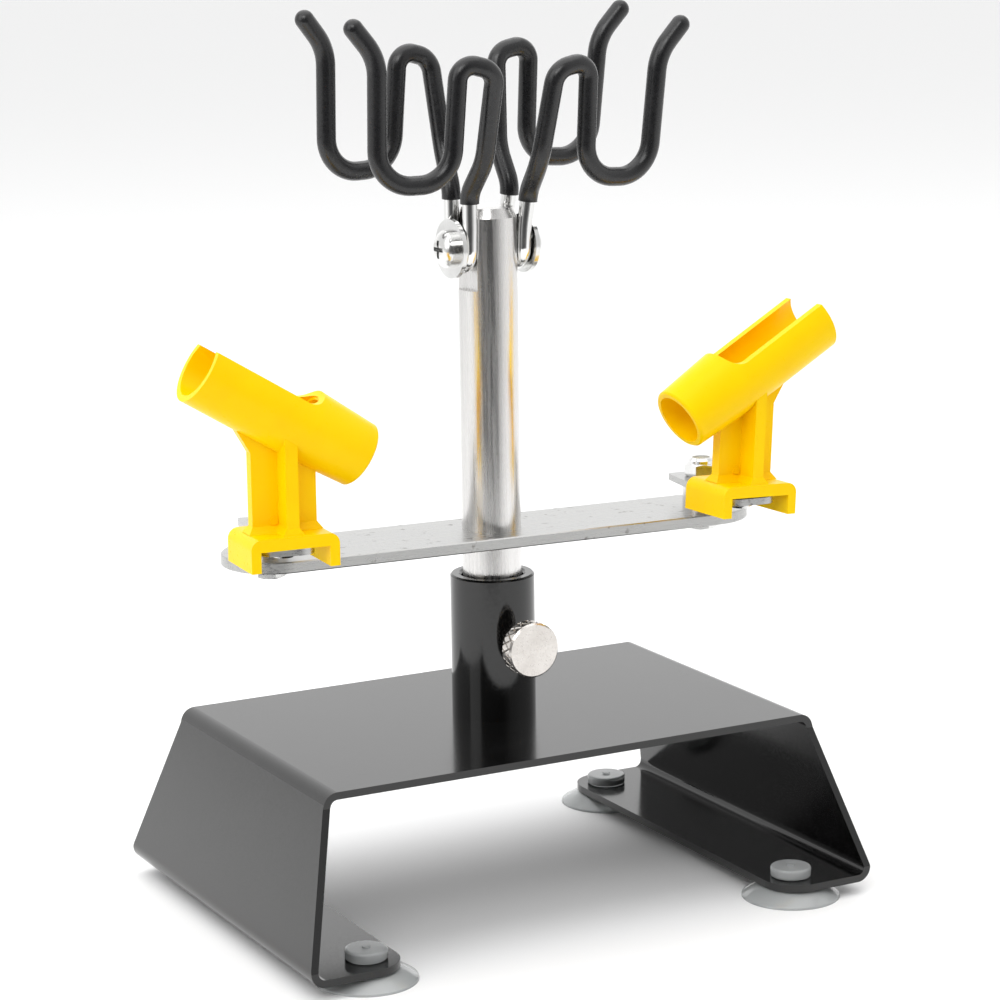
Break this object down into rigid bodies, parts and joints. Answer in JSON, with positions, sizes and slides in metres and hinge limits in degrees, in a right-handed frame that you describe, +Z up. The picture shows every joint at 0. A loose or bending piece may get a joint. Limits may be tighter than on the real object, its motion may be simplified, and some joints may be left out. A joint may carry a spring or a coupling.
{
  "type": "airbrush holder stand",
  "caption": "Bench stand on suction cups with a height-adjustable post, a crossbar with swinging inclined tube holders, and paired coated wire hooks on top for hanging airbrushes.",
  "frame": {"origin": "on the table under the collar's axis, in the plane of the suction cups' rims", "axes": "+Z up along the post, +X along the base's long side, +Y to the back, away from the thumbscrew's head"},
  "size_m": [0.1866, 0.1276, 0.2417],
  "materials": {
    "black_coat": "smooth semi-gloss black powder coat on sheet steel",
    "black_gloss": "glossy black coat on a turned steel collar",
    "clear_pvc": "clear soft PVC",
    "zinc": "bright zinc plate",
    "nickel": "nickel plate, knurled rim",
    "turned_steel": "polished turned steel",
    "brushed_bar": "flat steel with fine brushing and small stains",
    "bright_wire": "bright plated wire",
    "black_vinyl": "dipped black vinyl",
    "nylon": "white nylon",
    "yellow_plastic": "satin moulded yellow plastic"
  },
  "bodies": {
    "stand": {"base_frame": "black_coat", "collar": "black_gloss", "collar_bolt": "zinc", "collar_washer": "zinc", "suction_cup_left_back": "clear_pvc", "suction_cup_left_front": "clear_pvc", "suction_cup_right_back": "clear_pvc", "suction_cup_right_front": "clear_pvc"},
    "thumbscrew_stud": {"thumbscrew_stud": "nickel"},
    "thumbscrew_head": {"thumbscrew_head": "nickel"},
    "post": {"lower_post": "turned_steel", "joining_stud": "zinc"},
    "head": {"crossbar": "brushed_bar", "upper_pole": "turned_steel", "pivot_bolt_left": "zinc", "spacer_left": "turned_steel", "lock_nut_left": "zinc", "lock_nut_insert_left": "nylon", "clamp_screw_left": "zinc", "clamp_washer_left": "zinc", "pivot_bolt_right": "zinc", "spacer_right": "turned_steel", "lock_nut_right": "zinc", "lock_nut_insert_right": "nylon", "clamp_screw_right": "zinc", "clamp_washer_right": "zinc"},
    "left_arm": {"strap_left": "brushed_bar", "airbrush_holder_left": "yellow_plastic", "holder_screw_left": "zinc"},
    "left_hooks": {"hook_wire_left": "bright_wire", "hook_grip_left_front": "black_vinyl", "hook_grip_left_back": "black_vinyl"},
    "right_arm": {"strap_right": "brushed_bar", "airbrush_holder_right": "yellow_plastic", "holder_screw_right": "zinc"},
    "right_hooks": {"hook_wire_right": "bright_wire", "hook_grip_right_front": "black_vinyl", "hook_grip_right_back": "black_vinyl"}
  },
  "joints": [
    {"name": "post_height", "type": "slide", "parent": "stand", "child": "post", "axis": [0, 0, 1], "range_m": [-0.0092, 0.005]},
    {"name": "head_turn", "type": "hinge", "parent": "post", "child": "head", "pos_m": [0, 0, 0.0981], "axis": [0, 0, 1], "continuous": true},
    {"name": "thumbscrew_advance", "type": "slide", "parent": "stand", "child": "thumbscrew_stud", "axis": [0, -1, 0], "range_m": [0, 0.0032]},
    {"name": "thumbscrew_turn", "type": "hinge", "parent": "thumbscrew_stud", "child": "thumbscrew_head", "pos_m": [0, -0.0174, 0.0717], "axis": [0, -1, 0], "range_deg": [0, 1440]},
    {"name": "left_arm_swing", "type": "hinge", "parent": "head", "child": "left_arm", "pos_m": [-0.06437, 0.00405, 0.1094], "axis": [0, 0, 1], "continuous": true},
    {"name": "left_hooks_tilt", "type": "hinge", "parent": "head", "child": "left_hooks", "pos_m": [-0.0082, -0.00021, 0.1781], "axis": [0.9997, 0.0262, 0], "range_deg": [-90, 90]},
    {"name": "right_arm_swing", "type": "hinge", "parent": "head", "child": "right_arm", "pos_m": [0.06437, -0.00405, 0.1094], "axis": [0, 0, 1], "continuous": true},
    {"name": "right_hooks_tilt", "type": "hinge", "parent": "head", "child": "right_hooks", "pos_m": [0.0082, 0.00021, 0.1781], "axis": [0.9997, 0.0262, 0], "range_deg": [-90, 90]}
  ],
  "couplings": [
    {"joint": "thumbscrew_advance", "follows": "thumbscrew_turn", "m_per_rad": 0.00012732}
  ]
}
